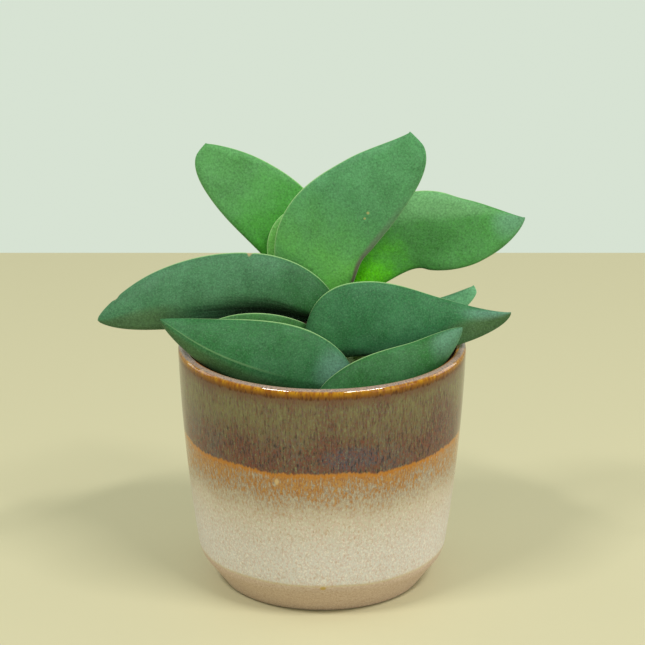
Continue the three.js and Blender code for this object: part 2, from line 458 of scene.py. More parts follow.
def glaze_grains(tree):
    """The place on the pot, how far in from its outer wall it lies, and the noises of the glaze."""
    point = object_point(tree)
    x, y, z = parts_of(point)
    flat = point.scaled(1, 1, 0)
    radius = point.add("ShaderNodeVectorMath", {"operation": "LENGTH"}, {0: flat}, "Value")
    lean = (RIM_RADIUS - SHOULDER_RADIUS) / (LIP - SHOULDER_HEIGHT)
    return SimpleNamespace(
        point=point,
        x=x,
        y=y,
        z=z,
        depth=z * lean + (SHOULDER_RADIUS - lean * SHOULDER_HEIGHT) - radius,
        run=point.scaled(1500, 1500, 300).noise(3, 0.65),
        long_run=point.scaled(700, 700, 90, 3).noise(2, 0.6),
        grain=point.scaled(1500, 1500, 1000, 5).noise(3, 0.7),
        fleck=point.scaled(1300, 1300, 480, 7).noise(3, 0.65),
        drift=point.scaled(60, 60, 45, 9).noise(2, 0.5),
        sway=point.scaled(28, 28, 0, 13).noise(1, 0.5),
    )


def spot(on, place, half_width, half_height):
    """A ragged blot on the pot's front, at this x and height."""
    away_x, away_z = (on.x - place.x) / half_width, (on.z - place.y) / half_height
    away = away_x * away_x + away_z * away_z + (on.fleck - 0.5)
    return away.step(1.2, 0.3) * on.y.step(0, -30 * MM)


print("bands end at", [round(v / MM, 1) for v in (CLAY_TOP, CREAM_TOP, ORANGE_TOP, AMBER_FOOT)], "mm")

# %% [markdown]
# ### The dark band
# Khaki streaks lie over plum. Low in the band, where the glaze gathered before it set, it is thicker: slate
# blue and soot come through there, most of all in one pool on the front. That darker pool is partly thick
# glaze and partly a painted reflection of the dark space in front of the pot. Each tint is laid over the
# last with its own share, as thin coats of paint are.

# %% The dark glaze
PLUM, DEEP_PLUM = colour(110, 68, 54), colour(66, 42, 42)
KHAKI, SLATE, RUST = colour(118, 114, 74), colour(72, 76, 92), colour(120, 56, 34)
SOOT, STRAW, LILAC = colour(38, 32, 34), colour(134, 130, 90), colour(108, 84, 84)
BROWN = colour(104, 66, 44)
# the pool on the front: partly thick glaze, partly painted reflection of the dark space in front of the pot
POOL_AND_REFLECTION = Vector((11 * MM, 67.5 * MM))
POOL_AND_REFLECTION_REACH = Vector((13 * MM, 5.5 * MM))


def dark_glaze(on):
    low = on.z.step(AMBER_FOOT - 7.2 * MM, ORANGE_TOP + 3.5 * MM)
    streaks = on.run * 0.45 + on.long_run * 0.3 + on.grain * 0.4 + on.drift * 0.4 - 0.28 - low * 0.1
    plum = on.grain.step(0.36, 0.64).mix(PLUM, DEEP_PLUM)
    dark = (streaks.step(0.3, 0.62) * (0.92 - low * 0.3)).mix(plum, KHAKI)
    thick = (on.drift * 1.1 + on.grain * 0.4 + on.run * 0.2).step(0.9, 1.06) * 0.6
    # thick slate glaze, plus the front pool, which is partly painted reflection
    slate_and_reflection = (thick + spot(on, POOL_AND_REFLECTION, POOL_AND_REFLECTION_REACH.x, POOL_AND_REFLECTION_REACH.y)) * on.grain.step(0.36, 0.56)
    dark = (slate_and_reflection * low * 0.8).mix(dark, SLATE)
    rust = (on.fleck + low * 0.12).step(0.6, 0.74)
    dark = (rust * 0.5).mix(dark, RUST)
    soot = (on.run * 0.4 + on.fleck * 0.7).step(0.54, 0.4)
    dark = (soot * (0.4 + low * 0.5)).mix(dark, SOOT)
    straw = (on.grain * 0.6 + on.run * 0.5).step(0.58, 0.72)
    dark = (straw * (0.45 + low * 0.3)).mix(dark, STRAW)
    lilac = on.point.scaled(1450, 1450, 700, 27).noise(3, 0.65).step(0.5, 0.64)
    dark = (lilac * 0.5).mix(dark, LILAC)
    brown = on.z.step(AMBER_FOOT - 4 * MM, AMBER_FOOT)
    return (brown * 0.6).mix(dark, BROWN)


print("the dark band is", round((AMBER_FOOT - ORANGE_TOP) / MM, 1), "mm high")

# %% [markdown]
# ### The orange and cream bands
# Below the dark edge the two glazes mixed into strokes of orange and ochre on a greyish tan. Further down
# the pale glaze is alone: a cream full of fine pink, sand and tan grains, with a few iron specks, and paler
# towards the shoulder.

# %% The orange and cream glazes
GREY_TAN, DARK_TAN = colour(178, 164, 138), colour(136, 120, 106)
ORANGE, OCHRE = colour(146, 88, 28), colour(182, 130, 54)
CREAM, PALE_CREAM = colour(190, 180, 152), colour(206, 202, 194)
PINK, SAND = colour(200, 166, 152), colour(230, 222, 208)
TAN, IRON = colour(170, 134, 88), colour(150, 104, 70)


def orange_glaze(on):
    high = on.z.step(CREAM_TOP - 8 * MM, ORANGE_TOP + 2 * MM)
    stroke = (on.fleck * 0.9 + on.run * 0.2 + on.drift * 0.25 + high * 0.2 - 0.27).step(0.46, 0.6)
    ground = on.grain.step(0.35, 0.65).mix(GREY_TAN, DARK_TAN)
    return (stroke * 0.85).mix(ground, on.grain.step(0.4, 0.6).mix(ORANGE, OCHRE))


def cream_glaze(on):
    pale = on.z.step(CREAM_TOP + 6 * MM, CREAM_TOP - 24 * MM)
    cream = pale.mix(CREAM, PALE_CREAM)
    pink = (on.grain * 0.8 + on.fleck * 0.3).step(0.5, 0.66)
    cream = (pink * 0.6).mix(cream, PINK)
    sand = on.point.scaled(1400, 1400, 1100, 17).noise(3, 0.65).step(0.5, 0.64)
    cream = (sand * 0.7 * (0.4 + pale * 0.6)).mix(cream, SAND)
    tan = on.point.scaled(1250, 1250, 800, 19).noise(3, 0.65).step(0.52, 0.66)
    cream = (tan * 0.6 * (1 - pale * 0.45)).mix(cream, TAN)
    iron = on.point.scaled(800, 800, 500, 21).noise(1, 0.4).step(0.77, 0.8)
    return (iron * 0.6).mix(cream, IRON)


print("the orange band is", round((ORANGE_TOP - CREAM_TOP) / MM, 1), "mm high")

# %% [markdown]
# ### The rim
# Glaze runs off a rounded rim and leaves it thin. There it turns amber, darker downwards, with umber drips
# along its lower edge. The very top breaks to a pinkish grey, the inner lip is golden again, and the
# inside is a plain dark brown.

# %% The rim's glaze
AMBER, DARK_AMBER, LOW_AMBER = colour(186, 132, 0), colour(136, 74, 0), colour(112, 66, 0)
UMBER = colour(72, 34, 4)
CREST, DARK_CREST = colour(176, 146, 124), colour(112, 98, 96)
GOLD_LIP, BROWN_LIP = colour(196, 124, 24), colour(150, 78, 10)
INSIDE, DARK_INSIDE = colour(70, 52, 40), colour(52, 42, 38)


def amber_glaze(on):
    amber = on.long_run.step(0.3, 0.7).mix(AMBER, DARK_AMBER)
    amber = on.z.step(AMBER_FOOT + 3.2 * MM, AMBER_FOOT + 0.6 * MM).mix(amber, LOW_AMBER)
    drips = on.run * 0.8 + on.z.step(AMBER_FOOT + 2 * MM, AMBER_FOOT - MM) * 0.2
    return (drips.step(0.46, 0.58) * 0.85).mix(amber, UMBER)


def rimmed(on, body):
    """The crest, the inner lip and the inside, laid over the rest of the glaze."""
    crest = (on.grain * 0.9 + on.run * 0.3 - 0.1).step(0.3, 0.7).mix(CREST, DARK_CREST)
    ragged_depth = on.depth + (on.run - 0.5) * 0.5 * MM
    top = ragged_depth.step(0.55 * MM, 0.95 * MM) * on.z.step(LIP, LIP + 0.6 * MM)
    body = top.mix(body, crest)
    lip = on.depth.step(2.4 * MM, 2.8 * MM) * on.z.step(LIP - MM, LIP - 0.4 * MM)
    body = lip.mix(body, on.run.mix(GOLD_LIP, BROWN_LIP))
    inside = on.depth.step(1.8 * MM, 2.4 * MM) * on.z.step(LIP + 0.4 * MM, LIP - 0.6 * MM)
    return inside.mix(body, on.grain.mix(INSIDE, DARK_INSIDE))


print("the amber is", round((POT_HEIGHT - AMBER_FOOT) / MM, 1), "mm high")

# %% [markdown]
# ### The bare foot
# The foot was wiped clean before firing, so that the pot wouldn't stick to the kiln shelf. The clay there
# is a matt pinkish buff with darker grit, and the glaze ends above it in a thin ochre line.

# %% Clay
CLAY, DARK_CLAY, GRIT = colour(210, 190, 172), colour(190, 164, 144), colour(170, 136, 112)
OCHRE_LINE, OCHRE_BEAD = colour(190, 164, 108), colour(184, 152, 62)
OCHRE_DROP = Vector((0.4 * MM, 13.2 * MM))


def clay_edge(on):
    """The height, carried up and down a little where the glaze ends."""
    return on.z + (on.sway - 0.5) * 2.4 * MM + (on.grain - 0.5) * 0.8 * MM


def footed(on, body, bare, edge):
    """The ochre line, the clay below it, and one drop of glaze that ran down onto it."""
    grit = on.point.scaled(1400, 1400, 1400, 25).noise(2, 0.6).step(0.54, 0.68)
    clay = (grit * 0.45).mix(on.grain.step(0.3, 0.7).mix(CLAY, DARK_CLAY), GRIT)
    line = edge.step(CLAY_TOP + 1.4 * MM, CLAY_TOP + 0.4 * MM)
    body = bare.mix((line * 0.55).mix(body, OCHRE_LINE), clay)
    return (spot(on, OCHRE_DROP, 1.3 * MM, 0.9 * MM) * 0.8).mix(body, OCHRE_BEAD)


print("the bare clay is", round(CLAY_TOP / MM, 1), "mm high")

# %% [markdown]
# ### The whole glaze
# The bands are laid over each other from the shoulder up, each with its own ragged edge. The glaze is
# glossiest near the rim and softer on the cream, and the clay is matt. A clear coat on the rim's round
# gives the sharp glints, and the relief stops short of it so that they stay in one piece.

# %% Glaze finish
GOLD_LINE = colour(180, 112, 16)
PALE_BEAD = colour(206, 180, 132)
PALE_SPOT = Vector((-16.8 * MM, 57.5 * MM))


def banded(on):
    """The bands from cream to amber."""
    edge = on.z + (on.fleck - 0.5) * 12 * MM + (on.drift - 0.5) * 10 * MM
    body = edge.step(CREAM_TOP - 7 * MM, CREAM_TOP + 8 * MM).mix(cream_glaze(on), orange_glaze(on))
    edge = on.z + (on.long_run - 0.5) * 3 * MM + (on.sway - 0.5) * 5 * MM + (on.fleck - 0.5) * 1.6 * MM
    gold = edge.step(ORANGE_TOP - 2.4 * MM, ORANGE_TOP - 0.6 * MM)
    body = (gold * 0.7).mix(body, GOLD_LINE)
    body = (spot(on, PALE_SPOT, 0.9 * MM, 1.5 * MM) * 0.7).mix(body, PALE_BEAD)
    body = edge.step(ORANGE_TOP - 0.4 * MM, ORANGE_TOP + 0.6 * MM).mix(body, dark_glaze(on))
    edge = on.z + (on.run - 0.5) * 3.2 * MM + (on.long_run - 0.5) * 2.2 * MM
    return edge.step(AMBER_FOOT - 0.4 * MM, AMBER_FOOT + 0.8 * MM).mix(body, amber_glaze(on))


def glaze_finish():
    material, tree = finish("reactive_glaze")
    on = glaze_grains(tree)
    edge = clay_edge(on)
    bare = edge.step(CLAY_TOP + 0.4 * MM, CLAY_TOP - 0.2 * MM)
    gloss = on.z.step(30 * MM, 60 * MM) * 0.27 + on.z.step(86 * MM, 92 * MM) * 0.09
    rough = 0.42 - gloss + (on.grain - 0.5) * 0.06
    pits = on.point.scaled(160, 160, 160, 23).noise(2, 0.5)
    below_rim = on.z.step(LIP, LIP - 3 * MM)
    height = (pits * 0.6 + on.grain * 0.06) * below_rim + bare * on.grain * 0.25
    surface(
        tree,
        base_color=footed(on, rimmed(on, banded(on)), bare, edge),
        roughness=rough + bare * (0.85 - rough),
        ior=1.52,
        specular_ior_level=0.36,
        coat_weight=on.z.step(LIP + 0.8 * MM, LIP + 1.1 * MM) * on.depth.step(1.6 * MM, 1.2 * MM) * 0.8,
        coat_roughness=0.04,
        coat_ior=1.6,
        normal=bump(tree, height, 0.35 * MM, 0.5),
    )
    return material


glaze = glaze_finish()
pot.data.materials.append(glaze)
print("glaze nodes:", len(glaze.node_tree.nodes))

# %% [markdown]
# ## The soil
# Peat-based potting soil is a dark, crumbly bed with a few pale grains of perlite and slivers of bark. The
# bed could be a sculpted disc, but it also fills the pot down to its floor, so it is a spun solid like the
# pot, whose top is then lumped by noise.

# %% The bed of soil
soil_low, soil_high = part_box("soil")
SOIL_EDGE = 76 * MM
SOIL_TOP = soil_high.z
SOIL_RADIUS = soil_high.x - 0.2 * MM
SOIL_ROUGH = 1.1 * MM
SOIL_RINGS = 34
SOIL_STEPS = 128


def soil_outline():
    """(radius, height) from the middle of the underside, up along the pot's wall, and over the top."""
    outline = [Vector((0, soil_low.z)), Vector((FOOT_RADIUS - MM, soil_low.z))]
    outline += [Vector((SHOULDER_RADIUS - WALL - MM, SHOULDER_HEIGHT + MM))]
    outline += [Vector((SOIL_RADIUS - MM, SOIL_EDGE - 8 * MM)), Vector((SOIL_RADIUS, SOIL_EDGE - MM))]
    for i in range(SOIL_RINGS + 1):
        share = 1 - i / SOIL_RINGS
        outline.append(Vector((SOIL_RADIUS * share, SOIL_TOP - (SOIL_TOP - SOIL_EDGE) * share)))
    return outline


def soil_height(x, y):
    """How high the soil's surface stands at this place."""
    share = min(1, math.hypot(x, y) / SOIL_RADIUS)
    lump = noise.fractal(Vector((x * 220, y * 220, 1)), 0.8, 2.0, 4)
    wide = noise.noise(Vector((x * 60, y * 60, 5)))
    return SOIL_TOP - (SOIL_TOP - SOIL_EDGE) * share + SOIL_ROUGH * (lump + wide - 0.3)


soil = spun("soil_bed", soil_outline(), SOIL_STEPS)
for vertex in soil.data.vertices:
    if vertex.co.z > SOIL_EDGE - 2 * MM:
        vertex.co.z = soil_height(vertex.co.x, vertex.co.y)
smooth_shaded(soil, 80)
belongs(soil, "potting_soil", "soil")
print("soil faces:", len(soil.data.polygons))

# %% [markdown]
# ### Crumbs, perlite and bark
# Particles could strew the bed, but copies placed by a seeded draw fall the same way each time and stay
# plain meshes. One rough little rock is modelled for each kind: an icosphere pushed about by noise. Its
# copies are turned, scaled, sunk a little and joined, because nobody lifts a single crumb.

# %% Scatter the crumbs
stem_low, stem_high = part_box("stem")
STEM_CENTRE = Vector((9 * MM, 2 * MM))
STEM_CLEAR = 7 * MM
WALL_CLEAR = 2.2 * MM


def rock(name, squash, rough):
    """A small rock about one unit in radius, squashed along each axis and roughened by noise."""
    bpy.ops.object.select_all(action="DESELECT")
    bpy.ops.mesh.primitive_ico_sphere_add(subdivisions=2, radius=1)
    piece = bpy.context.object
    piece.name = name
    for vertex in piece.data.vertices:
        push = 1 + rough * noise.noise(vertex.co * 1.7 + Vector((len(name), 0, 0)))
        vertex.co = Vector([place * share for place, share in zip(vertex.co, squash)]) * push
    return piece


def scattered(name, template, count, sizes, draw, reach=1.0, sink=0.35):
    """Copies of a rock on the soil, joined into one piece with its place in its mesh."""
    copies = []
    for _ in range(count):
        angle = draw.uniform(0, 2 * math.pi)
        away = (SOIL_RADIUS - WALL_CLEAR) * math.sqrt(draw.random()) * reach
        x, y = away * math.cos(angle), away * math.sin(angle)
        size = draw.uniform(*sizes) * draw.uniform(0.6, 1.0)
        turn = [draw.uniform(0, 2 * math.pi) for _ in range(3)]
        if (Vector((x, y)) - STEM_CENTRE).length < STEM_CLEAR:
            continue
        copy = bpy.data.objects.new(name, template.data.copy())
        bpy.context.scene.collection.objects.link(copy)
        copy.location = (x, y, soil_height(x, y) + size * (0.5 - sink))
        copy.rotation_euler = turn
        copy.scale = (size, size, size)
        copies.append(copy)
    only(*copies)
    bpy.ops.object.transform_apply()
    bpy.ops.object.join()
    joined = bpy.context.object
    joined.name = name
    bpy.data.objects.remove(template)
    smooth_shaded(joined, 40)
    belongs(joined, "potting_soil")
    print(name, len(joined.data.polygons), "faces")
    return joined


draw = random.Random(SEED)
crumb = rock("crumb", squash=(1, 0.8, 0.7), rough=0.7)
crumbs = scattered("soil_crumbs", crumb, 620, (0.7 * MM, 1.9 * MM), draw)
grain = rock("grain", squash=(1, 0.9, 0.8), rough=0.5)
perlite = scattered("perlite_grains", grain, 46, (0.6 * MM, 1.5 * MM), draw, sink=0.3)
sliver = rock("sliver", squash=(1.9, 0.6, 0.28), rough=0.8)
bark = scattered("bark_slivers", sliver, 60, (0.9 * MM, 2.0 * MM), draw, reach=0.95, sink=0.1)

# %% [markdown]
# ### Soil finishes
# Peat, crumbs, perlite and bark are all dull, dry and grainy, so one finish with other colours, grain and
# relief serves all four. A gloss as low as this keeps the bed dark between the leaves.

# %% Soil finishes


def soil_finish(name, dark, light, grains, rough, relief):
    """A dull, grainy finish between two colours, with so many grains to the metre."""
    material, tree = finish(name)
    point = object_point(tree)
    fine = point.scaled(grains, grains, grains).noise(3, 0.65)
    broad = point.scaled(140, 140, 140, 4).noise(2, 0.5)
    shade = (fine * 0.75 + broad * 0.45 - 0.1).step(0.3, 0.75)
    surface(
        tree,
        base_color=shade.mix(dark, light),
        roughness=rough,
        specular_ior_level=0.25,
        normal=bump(tree, fine, relief),
    )
    return material


SOIL_FINISHES = {
    "peat": (soil, colour(34, 24, 17), colour(84, 62, 44), 1100, 0.96, 0.5 * MM),
    "peat_crumb": (crumbs, colour(40, 28, 19), colour(98, 72, 50), 1600, 0.94, 0.3 * MM),
    "perlite": (perlite, colour(206, 200, 186), colour(240, 238, 230), 2400, 0.9, 0.2 * MM),
    "bark": (bark, colour(88, 54, 32), colour(150, 104, 66), 1300, 0.88, 0.25 * MM),
}
for name, (piece, *traits) in SOIL_FINISHES.items():
    piece.data.materials.append(soil_finish(name, *traits))
print("soil finishes:", list(SOIL_FINISHES))

# %% [markdown]
# ## The stem
# The stem is short and thick, and each leaf grows out of it with a swollen base. The CAD stem has those
# necks as plain cones. They could be modelled again as curves, but a voxel remesh turns the cones and the
# trunk into one skin as it is. A little swelling then closes them onto the leaves, and smoothing melts the
# joins together.

# %% Grow the stem together
STEM_VOXEL = 0.55 * MM
STEM_SWELL = 0.75 * MM
STEM_SMOOTHINGS = 14

stem = merged_copy("stem_grown", "stem")
modify(stem, "REMESH", mode="VOXEL", voxel_size=STEM_VOXEL)
modify(stem, "DISPLACE", strength=STEM_SWELL, mid_level=0)
modify(stem, "SMOOTH", factor=0.6, iterations=STEM_SMOOTHINGS)
smooth_shaded(stem, 80)
belongs(stem, "stem", "stem")
print("stem faces:", len(stem.data.polygons))

# %% [markdown]
# ### The stem's skin
# Young stem is a fresh yellow green. The oldest part, down at the soil, has turned to cork.

# %% Stem finish
GREEN, PALE_GREEN = colour(96, 138, 44), colour(132, 164, 76)
CORK, PALE_CORK = colour(92, 78, 48), colour(136, 116, 76)


def stem_finish():
    material, tree = finish("stem_skin")
    point = object_point(tree)
    z = parts_of(point)[2]
    fine = point.scaled(1500, 1500, 1500).noise(2, 0.6)
    broad = point.scaled(150, 150, 260, 3).noise(2, 0.5)
    green = (broad * 0.7 + fine * 0.3).mix(GREEN, PALE_GREEN)
    old = (z + (broad - 0.5) * 8 * MM).step(SOIL_EDGE + 12 * MM, SOIL_EDGE + 4 * MM)
    skin = old.mix(green, fine.mix(CORK, PALE_CORK))
    surface(tree, base_color=skin, roughness=0.62, normal=bump(tree, fine, 0.12 * MM))
    return material


stem.data.materials.append(stem_finish())
print("stem finish:", stem.data.materials[0].name)

# %% [markdown]
# ## The leaves
# A leaf is a thick, flat blade, sickle-shaped and slightly twisted, with a blunt margin. It could be lofted
# again here, but the CAD blades already have that shape in seventeen rings of fourteen points, with a point
# at each end, so each leaf starts as a merged copy of its node. The copy has forgotten its rings. Walking
# from the base along the edges finds them again: a point's ring is the number of steps to it.

# %% Walk along a blade
RINGS = 17
AROUND = 14


def neighbours_of(mesh):
    links = [[] for _ in mesh.vertices]
    for edge in mesh.edges:
        a, b = edge.vertices
        links[a].append(b)
        links[b].append(a)
    return links


def walked(links, start):
    """How many edges each point lies from the start."""
    steps = {start: 0}
    queue = deque([start])
    while queue:
        here = queue.popleft()
        for there in links[here]:
            if there not in steps:
                steps[there] = steps[here] + 1
                queue.append(there)
    return steps


print("points in a blade:", RINGS * AROUND + 2)

# %% [markdown]
# ### The net of a blade
# The walk gives each ring's points in no order. Every row of the net should start on the upper margin and
# go over the front face first, so that a column is the same place across the leaf on every ring. The
# margin is found once, on the middle ring where the blade is wide, and followed from ring to ring.

# %% Put a blade's points in order
UPWARDS = np.array((-0.3, 0.0, 1.0))


def upper_margin(ring, points):
    """The ring's widest point on the side that looks up, and the way to it from the ring's centre."""
    centre = points[ring].mean(0)
    widest = max(ring, key=lambda v: np.linalg.norm(points[v] - centre))
    if np.dot(points[widest] - centre, UPWARDS) < 0:
        opposite = centre - points[widest]
        widest = max(ring, key=lambda v: np.dot(points[v] - centre, opposite))
    return widest, points[widest] - centre


def first_points(rings, links, points):
    """Each ring's point on the upper margin, followed both ways from the middle ring."""
    middle = len(rings) // 2
    widest, across = upper_margin(rings[middle], points)
    firsts = {middle: widest}
    for outwards in (range(middle + 1, RINGS), range(middle - 1, -1, -1)):
        before, lie = widest, across / np.linalg.norm(across)
        for i in outwards:
            centre = points[rings[i]].mean(0)
            lies = {}
            for v in links[before]:
                if v in rings[i]:
                    lies[v] = (points[v] - centre) / np.linalg.norm(points[v] - centre)
            before = max(lies, key=lambda v: np.dot(lies[v], lie))
            lie = lies[before]
            firsts[i] = before
    return firsts


def ring_order(ring, links, first, points):
    """A ring's points in order from its first, going over the front face, towards -Y, first."""
    order = [first]
    while len(order) < len(ring):
        near = [v for v in links[order[-1]] if v in ring and v not in order]
        order.append(near[0] if len(order) > 1 else min(near, key=lambda v: points[v][1]))
    return order


def blade_grid(piece):
    """The blade's points, a row for each ring from base to tip, and the points at its two ends."""
    points = points_of(piece.data)
    links = neighbours_of(piece.data)
    root = (stem_low + stem_high) / 2
    ends = sorted(range(len(links)), key=lambda v: len(links[v]))[-2:]
    ends.sort(key=lambda v: (Vector(points[v]) - root).length)
    steps = walked(links, ends[0])
    rings = [[v for v, step in steps.items() if step == i] for i in range(1, RINGS + 1)]
    firsts = first_points(rings, links, points)
    grid = [ring_order(ring, links, firsts[i], points) for i, ring in enumerate(rings)]
    return np.array(grid), ends


print("an upper margin looks towards", UPWARDS)

# %% [markdown]
# ### From facets to flesh
# The diagonal edges are dissolved, which leaves a clean net of quads. Each point then keeps three numbers:
# its share of the way along, its place across, from 1 on the upper margin to -1 on the lower, and its side,
# which is above 0 on the front. Subdivision carries them to the fine mesh, where shape and finish read them.

# %% Quads, and what their points keep


def dissolve_diagonals(piece, grid):
    """Leave a net of quads: dissolve every edge that changes both ring and place in the ring."""
    place = {int(v): (i, j) for i, row in enumerate(grid) for j, v in enumerate(row)}
    edit(piece)
    bpy.ops.mesh.select_mode(type="EDGE")
    close_edit()
    for edge in piece.data.edges:
        a, b = (place.get(v) for v in edge.vertices)
        edge.select = bool(a and b and a[0] != b[0] and a[1] != b[1])
    bpy.ops.object.mode_set(mode="EDIT")
    bpy.ops.mesh.dissolve_edges(use_verts=False)
    bpy.ops.mesh.select_mode(type="VERT")
    close_edit()


def keep_value(piece, name, values):
    """Store a number at each of the piece's points, which later subdivision carries along."""
    attribute = piece.data.attributes.new(name, "FLOAT", "POINT")
    attribute.data.foreach_set("value", np.asarray(values, float))


def mark_blade(piece, grid, ends):
    """Give each point its share along the leaf, its place across it and the side that it is on."""
    count = len(piece.data.vertices)
    along, across, front = np.zeros(count), np.zeros(count), np.zeros(count)
    along[ends[1]] = 1
    for i, row in enumerate(grid):
        along[row] = (1 - math.cos(math.pi * (i + 1) / (RINGS + 1))) / 2
        across[row] = [math.cos(2 * math.pi * j / AROUND) for j in range(AROUND)]
        front[row] = [math.sin(2 * math.pi * j / AROUND) for j in range(AROUND)]
    keep_value(piece, "along", along)
    keep_value(piece, "across", across)
    keep_value(piece, "front", front)


def value_of(piece, name):
    """The numbers that the piece keeps at its points."""
    values = np.zeros(len(piece.data.vertices))
    piece.data.attributes[name].data.foreach_get("value", values)
    return values


print("quads in a blade's net:", (RINGS - 1) * AROUND)

# %% [markdown]
# ### A smooth skin through the same points
# A voxel remesh would be quick, but it would lose the sharp tips and the numbers that the points keep. A
# subdivision surface keeps both. It shrinks away from its cage, so the cage is pushed out, a few times
# over, until the smooth skin passes through every point of the CAD blade.

# %% Smooth a blade
LEAF_LEVELS = 3
FITTING_ROUNDS = 5


def smoothed_through(piece):
    """Subdivide so that the smooth surface passes through the cage's first points."""
    target = points_of(piece.data)
    cage = target.copy()
    modifier = piece.modifiers.new("Smooth", "SUBSURF")
    modifier.levels = modifier.render_levels = LEAF_LEVELS
    for _ in range(FITTING_ROUNDS):
        move_points(piece, cage)
        depsgraph = bpy.context.evaluated_depsgraph_get()
        depsgraph.update()
        skin = points_of(piece.evaluated_get(depsgraph).data)[: len(target)]
        cage += target - skin
    move_points(piece, cage)
    only(piece)
    bpy.ops.object.modifier_apply(modifier=modifier.name)


def normals_of(piece):
    flat = np.zeros(len(piece.data.vertices) * 3)
    piece.data.vertices.foreach_get("normal", flat)
    return flat.reshape(-1, 3)


print("subdivision levels for a blade:", LEAF_LEVELS)

# %% [markdown]
# ### What makes it a living leaf
# No two blades are alike. Each swells and dips a little along its length, and its front is crowned. The
# lowest left leaf has a raised keel, the long left one a hollow below its crown and two small nicks that
# healed to a corky tan. They could be bump alone, but moves of the fine mesh along its own normals show
# from every side.

# %% Shape the flesh
UNDULATION = 0.35 * MM


def bell(values, centre, width):
    return np.exp(-(((values - centre) / width) ** 2))


def swell(piece, seed, crown, keel, hollows):
    """Push the skin along its normals: a slow wave, a crowned front, a keel and hollows."""
    points, normals = points_of(piece.data), normals_of(piece)
    along, across, front = (value_of(piece, name) for name in ("along", "across", "front"))
    off_margin = np.clip((1 - np.abs(across)) * 6, 0, 1)
    wave = np.array([noise.noise(Vector(p) * 55 + Vector((seed, 0, 0))) for p in points])
    push = UNDULATION * wave * (0.3 + 0.7 * off_margin)
    push += crown * (1 - across**2) * np.clip(front * 3, 0, 1) * np.clip((1 - along) * 6, 0, 1)
    if keel:
        line = keel["start"] + (keel["end"] - keel["start"]) * along
        crest = bell(across, line, keel["width"]) * np.clip(front * 4, 0, 1)
        push += keel["height"] * crest * np.clip((1.02 - along) * 8, 0, 1) * np.clip(along * 6, 0, 1)
    for hollow in hollows:
        dip = bell(along, *hollow["along"]) * bell(across, *hollow["across"])
        push -= hollow["depth"] * dip * np.clip(front * 4, 0, 1)
    move_points(piece, points + normals * push[:, None])


def notch(piece, nicks):
    """Pull small nicks into the margins, and keep where they are as the piece's scar value."""
    points = points_of(piece.data)
    along, across = (value_of(piece, name) for name in ("along", "across"))
    scar = np.zeros(len(points))
    for nick in nicks:
        place = nick["along"][0]
        share = bell(along, *nick["along"]) * np.clip((across * nick["side"] - 0.86) / 0.14, 0, 1)
        inwards = points[np.abs(along - place) < 0.03].mean(0) - points
        inwards /= np.linalg.norm(inwards, axis=1)[:, None]
        points = points + inwards * (share * nick["depth"])[:, None]
        scar = np.maximum(scar, share)
    move_points(piece, points)
    keep_value(piece, "scar", scar)


print("the flesh waves by up to", UNDULATION / MM, "mm")

# %% [markdown]
# ### The leaf's skin
# The skin is matt and velvety: fresh green flesh under a breath of blue-green wax, with a fine speckle.
# Towards the base, where the leaf is youngest, it turns yellow green. On one leaf the base colour is
# brighter still as painted light, and on another darker as painted shade. Noise in the piece's own space
# gives the speckle, and noise laid out along and across the blade gives bands that bend with it.

# %% Grains of a leaf
WAX = colour(168, 206, 190)
WAX_SHARE = 0.04
PALE_DOT = colour(140, 180, 142)


def leaf_grains(tree, shift):
    """The place on the blade, and the noises that its skin is worked out from."""
    point = object_point(tree)
    along, across, front, scar = (own(tree, value) for value in ("along", "across", "front", "scar"))
    on_blade = tree.add("ShaderNodeCombineXYZ", None, {0: along * 3, 1: across * 14, 2: front * 2})
    return SimpleNamespace(
        point=point,
        along=along,
        across=across,
        front=front,
        scar=scar,
        speck=point.scaled(1300, 1300, 1300, shift).noise(3, 0.7),
        dot=point.scaled(2000, 2000, 2000, shift + 2).noise(1, 0.5).step(0.5, 0.75),
        cloud=point.scaled(90, 90, 90, shift + 4).noise(3, 0.55),
        streak=point.scaled(300, 300, 300, shift + 6).noise(2, 0.5),
        torn=on_blade.scaled(1, 1, 1, shift).noise(3, 0.6),
        bands=on_blade.scaled(3, 0.05, 1, shift + 8).noise(2, 0.5),
    )


def flesh(on, body, base, reach, glow):
    """The body's green turning into the base colour from this far along; painted light on one leaf, painted
    shade on another.
    """
    waxed = [(1 - WAX_SHARE) * green + WAX_SHARE * wax for green, wax in zip(body, WAX)]
    fresh = (on.cloud * 0.8 + on.streak * 0.3 - 0.05).step(0.3, 0.7).mix(body, waxed)
    # young yellow green on most leaves; painted light on leaf_4_right, painted shade on leaf_3_left
    base_tint = (on.along + (on.cloud - 0.5) * 0.25).step(reach, 0.02) * glow
    return base_tint.mix(fresh, base)


def speckled(on, skin):
    skin = skin.times(on.speck * 1.6 + on.bands * 0.5 + on.cloud * 0.24 - 0.17)
    return (on.dot * 0.12).mix(skin, PALE_DOT)


print("wax over the flesh:", WAX_SHARE)

# %% [markdown]
# ### Patches of tone and painted shade
# Bloom gathers on some leaves and is rubbed off others, and a lower leaf turns olive where it bends down.
# Where a hollow or the leaves around keep the light off the flesh, a deep green is laid on as painted shade.
# Each is an oval laid over the front of the blade. The painted shade has a torn edge and the others a soft
# one.

# %% Patches
OLIVE = colour(70, 84, 46)
# painted shade: a deep green laid where the flesh is kept from the light
PAINTED_SHADE = colour(4, 26, 4)
BLOOM = colour(112, 150, 136)
TORN_EDGE = 0.9
SOFT_EDGE = 0.15


